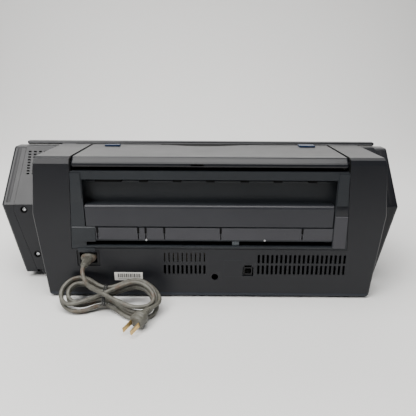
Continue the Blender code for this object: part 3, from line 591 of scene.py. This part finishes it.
def make_recess_details():
    middles = (91.8, 45, -1, -48.8, -95, -143)
    notches = [((fx(at - 6), 140.9, 176.2), (fx(at + 6), 158.5, 179.8)) for at in middles]
    notches.append(((fx(122), 140.9, 176.2), (fx(159), 158.5, 179.8)))
    blocks("recess_notches", notches, GAP)
    ledges = [((fx(-176.5), 141.2, 172.8), (fx(176.5), 145.0, 175.6))]
    ledges.append(((fx(-176.5), 141.2, 141.0), (fx(176.5), 154.8, 143.2)))
    blocks("recess_ledges", ledges, FRAME, edge=0.6)
    lip = [((fx(-176.8), 159.2, 79.6), (fx(176.8), 161.9, 82.3))]
    blocks("slot_lower_lip", lip, FRAME, edge=0.9)
    catch = ((fx(-43.3), 146.0, 82.7), (fx(-33.2), 158.6, 89.8))
    blocks("slot_catch", [catch], CATCH_GREY)
    tab = ((fx(165), 159.6, 71.6), (fx(190), 162.0, 78.4))
    blocks("inlet_tab", [tab], FRAME, edge=0.5)
    tops = [((fx(at - 1.5), 159.8, 101.5), (fx(at + 1.5), 161.02, 109.9)) for at in SLITS]
    blocks("panel_slit_tops", tops, GAP, edge=0.0)


SLITS = (160, 101.5, 90.9, 64.3, -16.4, -133)


def make_columns():
    """The stepped uprights on each side of the recess."""
    bm = bmesh.new()
    add_extrusion(bm, [(160.2, 189.0), (161.7, 189.0), (161.7, 158.0), (160.75, 147.0), (160.2, 147.0)],
                  fx(178.2), fx(192.5))
    add_extrusion(bm, [(160.2, 111.0), (161.0, 111.0), (162.0, 109.8), (162.0, 88.6), (160.2, 88.6)],
                  fx(163.0), fx(196.0))
    add_extrusion(bm, [(160.2, 189.0), (161.7, 189.0), (161.7, 143.5), (160.2, 143.5)],
                  fx(-192.5), fx(-178.2))
    piece("column_steps", bm, FRAME, smooth=20)
    bm = bmesh.new()
    add_extrusion(bm, [(160.2, 128.4), (161.3, 128.4), (162.1, 127.4), (162.1, 80.2), (160.2, 80.2)],
                  fx(-195.6), fx(-177.6))
    piece("column_panel", bm, PANEL, smooth=20)
    inset = ((fx(-194.4), 160.2, 128.8), (fx(-178.2), 161.0, 143.2))
    blocks("column_shadow", [inset], CASE)
    bm = bmesh.new()
    add_extrusion(bm, [(160.3, 109.6), (160.95, 109.2), (160.95, 92.0), (160.3, 91.4)],
                  fx(-176.0), fx(162.6))
    panel = piece("lower_panel", bm, PANEL, smooth=20)
    cutter_mesh = bpy.data.meshes.new("panel_slits")
    bm = bmesh.new()
    for at in SLITS:
        add_block(bm, (fx(at - 0.8), 150, 90), (fx(at + 0.8), 170, 112), 0)
    bmesh.ops.scale(bm, vec=(MM, MM, MM), verts=bm.verts)
    bm.to_mesh(cutter_mesh)
    bm.free()
    cutter = bpy.data.objects.new("panel_slits", cutter_mesh)
    bpy.context.scene.collection.objects.link(cutter)
    step = panel.modifiers.new("slits", "BOOLEAN")
    step.object = cutter
    step.solver = "EXACT"
    made = bpy.data.meshes.new_from_object(panel.evaluated_get(bpy.context.evaluated_depsgraph_get()))
    panel.modifiers.clear()
    panel.data = made
    bpy.data.objects.remove(cutter)


def make_door():
    """The rear access door, with its rounded top edge and ribs on its inner side."""
    bm = bmesh.new()
    outline = [(155.6, 111.3), (160.4, 111.3), (161.0, 111.9), (161.0, 137.6)]
    outline += arc((156.2, 138.6), 4.8, 0, 90, 8)
    outline += [(155.6, 143.4)]
    add_extrusion(bm, outline, fx(-175.4), fx(175.4))
    rear = [e for e in bm.edges if abs(e.verts[0].co.x - e.verts[1].co.x) < 0.01 and e.calc_length() > 0.3
            and max(e.verts[0].co.y, e.verts[1].co.y) > 160]
    bmesh.ops.bevel(bm, geom=rear, offset=0.6, segments=2, affect="EDGES")
    door = piece("rear_door_shell", bm, DOOR, "jam_door", smooth=30)
    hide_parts("rear_jam_door")
    ribs = [((fx(at - 0.8), 150.5, 116), (fx(at + 0.8), 155.9, 138)) for at in (-140, -70, 0, 70, 140)]
    blocks("rear_door_ribs", ribs, FRAME, "jam_door")


def make_label():
    """A plain label low on the feeder, with generic bars and no lettering."""
    sheet = ((fx(98.0), 160.95, 27.0), (fx(139.6), 161.12, 40.0))
    blocks("rear_label", [sheet], LABEL, edge=0.05)
    bars = []
    at = 101.5
    for number in range(22):
        wide = (0.5, 0.9, 0.5, 1.3)[(number * 7) % 4]
        bars.append(((fx(at), 161.05, 31.6), (fx(at + wide), 161.2, 38.0)))
        at += wide + (0.7, 0.5, 1.0)[(number * 5) % 3]
    bars.append(((fx(104), 161.05, 28.8), (fx(134), 161.2, 29.6)))
    blocks("rear_label_bars", bars, GAP, edge=0.0)


def add_screw(bm, at, radius):
    """A cross-head screw facing the rear, with its slots sunk."""
    x, y, z = at
    add_turned(bm, [(0, -1.0), (radius, -1.0), (radius, 0.1), (radius * 0.8, 0.5), (radius * 0.34, 0.62),
                    (radius * 0.3, 0.2), (0, 0.15)], (x, y, z), (0, 1, 0), 20)


def make_screws():
    bm = bmesh.new()
    for across, z in ((90.3, 91.2), (-79.7, 91.2)):
        add_screw(bm, (fx(across), 160.9, z), 1.6)
    piece("panel_screws", bm, STEEL)
    for number, node in enumerate(n for n in sorted(NODES) if n.startswith("case_screw_")):
        low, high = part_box(node)
        x, z = (low[0] + high[0]) / 2 / MM, (low[2] + high[2]) / 2 / MM
        bm = bmesh.new()
        head = [(0, -8.0), (1.5, -8.0), (1.5, -3.0), (3.6, -3.0), (3.6, -1.9)]
        head += [(2.9, -1.2), (1.3, -1.0), (1.1, -1.6), (0, -1.7)]
        add_turned(bm, head, (x, 98.9, z), (0, 1, 0), 22)
        screw = piece(f"case_screw_head_{number + 1}", bm, STEEL)
        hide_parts(node)
        bm = bmesh.new()
        ring = [(4.3, -3.0), (5.6, 0.1), (5.6, 0.3), (4.1, 0.3), (4.1, -3.0)]
        add_turned(bm, ring, (x, 98.9, z), (0, 1, 0), 22)
        piece(f"case_screw_ring_{number + 1}", bm, GAP)


def make_rear_marks():
    """A faint square recess beside the port, and the screen behind the middle vents."""
    lines = [((fx(-49.5), 160.9, 59.6), (fx(-21.7), 161.1, 60.5))]
    lines += [((fx(-49.5), 160.9, 34.0), (fx(-21.7), 161.06, 34.4))]
    lines += [((fx(at), 160.9, 34.2), (fx(at + 0.4), 161.06, 60.0)) for at in (-49.5, -22.1)]
    blocks("square_recess_lines", lines, FRAME, edge=0.0)
    blocks("vent_screen", [((fx(-2), 154.0, 56.0), (fx(70), 155.0, 73.0))], SCREEN)
    bm = bmesh.new()
    for row in range(3):
        for column in range(14):
            x, z = fx(62.5 - 4.6 * column), 60.5 + 4.4 * row
            add_turned(bm, [(0, 0.9), (1.3, 0.9), (1.3, 1.25), (0, 1.25)], (x, 154.0, z), (0, 1, 0), 10)
    piece("vent_screen_holes", bm, GAP)
    tongue = [((fx(-61.0), 148.0, 39.6), (fx(-53.4), 157.0, 43.4))]
    blocks("usb_tongue", tongue, GAP)


def end_x(z):
    """Half the body's width at a height."""
    levels = [(6.0, 284.0), (112.0, 311.0), (208.3, 299.0)]
    for (low, a), (high, b) in zip(levels, levels[1:]):
        if z <= high:
            break
    return a + (b - a) * (z - low) / (high - low)


RIM_SECTION = ((13.2, -0.5), (13.0, 0.35), (11.5, 0.5), (8.0, 0.3), (5.6, -0.3), (5.6, -0.9))


def make_end_trims():
    """The darker rolled rim along the outer edge of each sloping rear corner."""
    bm = bmesh.new()
    slope = (51.0 - 99.0) / (208.3 - 124.0)
    out = Vector((0, 84.3, 48.0)).normalized()
    for side in (-1, 1):
        rows = []
        for step in range(13):
            z = 127.5 + (205.0 - 127.5) * step / 12
            base = Vector((0, 99.0 + slope * (z - 124.0), z))
            row = []
            for inset, lift in RIM_SECTION:
                row.append(bm.verts.new(base + out * lift + Vector((side * (end_x(z) - inset), 0, 0))))
            rows.append(row)
        count = len(rows[0])
        for a, b in zip(rows, rows[1:]):
            for i in range(count):
                bm.faces.new((a[i], a[(i + 1) % count], b[(i + 1) % count], b[i]))
        bm.faces.new(rows[0][::-1])
        bm.faces.new(rows[-1])
    piece("end_rims", bm, RIM, smooth=60)


# ---------------------------------------------------------------- details of the front and top


def on_slope(down, out=0.0):
    """The (y, z) of a point on the front slope, down it from the deck's edge and out of it."""
    run = Vector((-149.5 + 118.0, 124.0 - 184.5)).normalized()
    normal = Vector((run.y, -run.x))
    point = Vector((-118.0, 184.5)) + run * down + normal * out
    return point.x, point.y


KEY_ROW = (("power_key", 212, 6.5), ("paper_key", 235, 5.0), ("ink_key", 255, 5.0))


def make_front():
    """Key rings and dishes, status lamps, ribs on the tray's face and a trim along the foot."""
    out = Vector((0.0, *(Vector(on_slope(0, 1)) - Vector(on_slope(0)))))
    bm = bmesh.new()
    lamps = bmesh.new()
    for _, x, radius in KEY_ROW:
        seat = Vector((x, *on_slope(34, 0.8)))
        ring = [(0.7, -0.8), (0.7, 0.25), (1.3, 0.5), (2.0, 0.25), (2.1, -0.4), (0.7, -0.8)]
        add_turned(bm, [(radius + wide, high) for wide, high in ring], seat, out, 36)
        lamp = Vector((x, *on_slope(20, 0.7)))
        add_turned(lamps, [(0, -0.4), (1.5, -0.4), (1.5, 0.2), (1.0, 0.5), (0, 0.6)], lamp, out, 16)
    piece("key_rings", bm, KEYS)
    piece("status_lamps", lamps, LAMP)
    for body, x, radius in KEY_ROW:
        bm = bmesh.new()
        seat = Vector((x, *on_slope(34, 2.5)))
        dish = [(0, -0.4), (0.5, -0.4), (0.5, 0.25), (0.38, 0.4), (0, 0.3)]
        add_turned(bm, [(radius * part, high) for part, high in dish], seat, out, 28)
        piece(f"{body}_dish", bm, KEYS, body)
    lean_in = 11.0 / 118.0
    ribs = []
    for number in range(7):
        z = 32.0 + 9.0 * number
        y = -161.0 + lean_in * (124.0 - z)
        ribs.append(((-178, y - 0.35, z), (178, y + 0.9, z + 1.0)))
    blocks("tray_face_ribs", ribs, CASE, "tray", edge=0.3)
    y = -161.0 + lean_in * (124.0 - 8.0)
    trim = ((-262, y - 0.1, 7.4), (262, y + 1.6, 9.6))
    blocks("front_foot_trim", [trim], FRAME, edge=0.5)


def make_lid_trim():
    """Two low ribs across the lid's top."""
    bm = bmesh.new()
    run = Vector((-66.0 - 35.0, 199.8 - 215.0)).normalized()
    up = Vector((run.y, -run.x))
    if up.y < 0:
        up = -up

    def at(along, lift):
        point = Vector((35.0, 215.0)) + run * along + up * lift
        return point.x, point.y

    for near, far in ((12.0, 13.6), (96.0, 97.6)):
        outline = [at(near, -0.4), at(near + 0.3, 0.25), at(far - 0.3, 0.25), at(far, -0.4)]
        add_extrusion(bm, outline, -262, 262)
    piece("lid_ribs", bm, CASE, "lid", smooth=20)


def make_cover_marks():
    """The two raised guide pads, the shadowed finger notch and the lid's bevelled rear edge."""
    for side, name in ((1, "guide_pad_right"), (-1, "guide_pad_left")):
        wide, deep = (12.0, 4.0) if side > 0 else (12.4, 12.0)
        bm = bmesh.new()
        add_block(bm, (fx(side * 153 - wide), 62 - deep, 210.6), (fx(side * 153 + wide), 66, 213.2), 0.5)
        piece(name, bm, BLUE, "support")
    bm = bmesh.new()
    rim = []
    for step in range(25):
        t = step / 24
        rim.append((fx(-62 + 141 * t), 43.0 + 17.0 * math.sin(math.pi * t)))
    rim += [(x, 42.6) for x, _ in rim[::-1]]
    lower = [bm.verts.new((x, y, 210.4)) for x, y in rim]
    upper = [bm.verts.new((x, y, 211.15)) for x, y in rim]
    bm.faces.new(lower[::-1])
    bm.faces.new(upper)
    for i in range(len(rim)):
        j = (i + 1) % len(rim)
        bm.faces.new((lower[i], lower[j], upper[j], upper[i]))
    piece("finger_notch_shadow", bm, GAP, "support")
    bm = bmesh.new()
    add_extrusion(bm, [(35.1, 210.6), (35.7, 210.9), (32.2, 214.8), (31.4, 215.1), (31.4, 214.6),
                       (33.6, 212.2)], -281.0, 281.0)
    piece("lid_rear_bevel", bm, DOOR, "lid", smooth=20)


make_camera()
make_cord()
make_seams()
make_recess_details()
make_columns()
make_door()
make_label()
make_screws()
make_rear_marks()
make_end_trims()
make_front()
make_lid_trim()
make_cover_marks()
finish_cad_nodes()

# ---------------------------------------------------------------- studio


def make_studio():
    """A seamless pale sweep with soft light from above and behind."""
    bm = bmesh.new()
    rows = []
    path = [(0.85, 0.0), (-0.9, 0.0)]
    for step in range(1, 13):
        turn = math.radians(90 * step / 12)
        path.append((-0.9 - 0.8 * math.sin(turn), 0.8 - 0.8 * math.cos(turn)))
    path.append((-1.7, 4.0))
    for y, z in path:
        rows.append([bm.verts.new((x, y, z - 0.0004)) for x in (-4.0, 4.0)])
    for a, b in zip(rows, rows[1:]):
        bm.faces.new((a[0], a[1], b[1], b[0]))
    mesh = bpy.data.meshes.new("sweep")
    bm.to_mesh(mesh)
    bm.free()
    for face in mesh.polygons:
        face.use_smooth = True
    sweep = bpy.data.objects.new("sweep", mesh)
    bpy.context.scene.collection.objects.link(sweep)
    paper = Shader("studio_paper", (0.72, 0.718, 0.71), 0.85)
    mesh.materials.append(paper.material)

    world = bpy.data.worlds.new("studio")
    bpy.context.scene.world = world
    world.use_nodes = True
    world.node_tree.nodes["Background"].inputs["Color"].default_value = (0.95, 0.97, 1.0, 1.0)
    world.node_tree.nodes["Background"].inputs["Strength"].default_value = 0.12

    def lamp(name, at, aim, size, power, colour=(1.0, 0.99, 0.97)):
        data = bpy.data.lights.new(name, "AREA")
        data.shape = "RECTANGLE"
        data.size, data.size_y = size
        data.energy = power
        data.color = colour
        obj = bpy.data.objects.new(name, data)
        bpy.context.scene.collection.objects.link(obj)
        direction = Vector(aim) - Vector(at)
        obj.matrix_world = Matrix.Translation(at) @ direction.to_track_quat("-Z", "Y").to_matrix().to_4x4()

    lamp("overhead", (0.1, 0.45, 1.9), (0.0, 0.2, 0.0), (2.0, 1.3), 66)
    lamp("backdrop_glow", (0.0, -1.35, 1.30), (0.0, 0.1, 0.15), (2.6, 0.9), 27)
    lamp("corner_soft", (0.95, 1.15, 1.28), (0.25, 0.08, 0.15), (0.8, 0.8), 26)


make_studio()
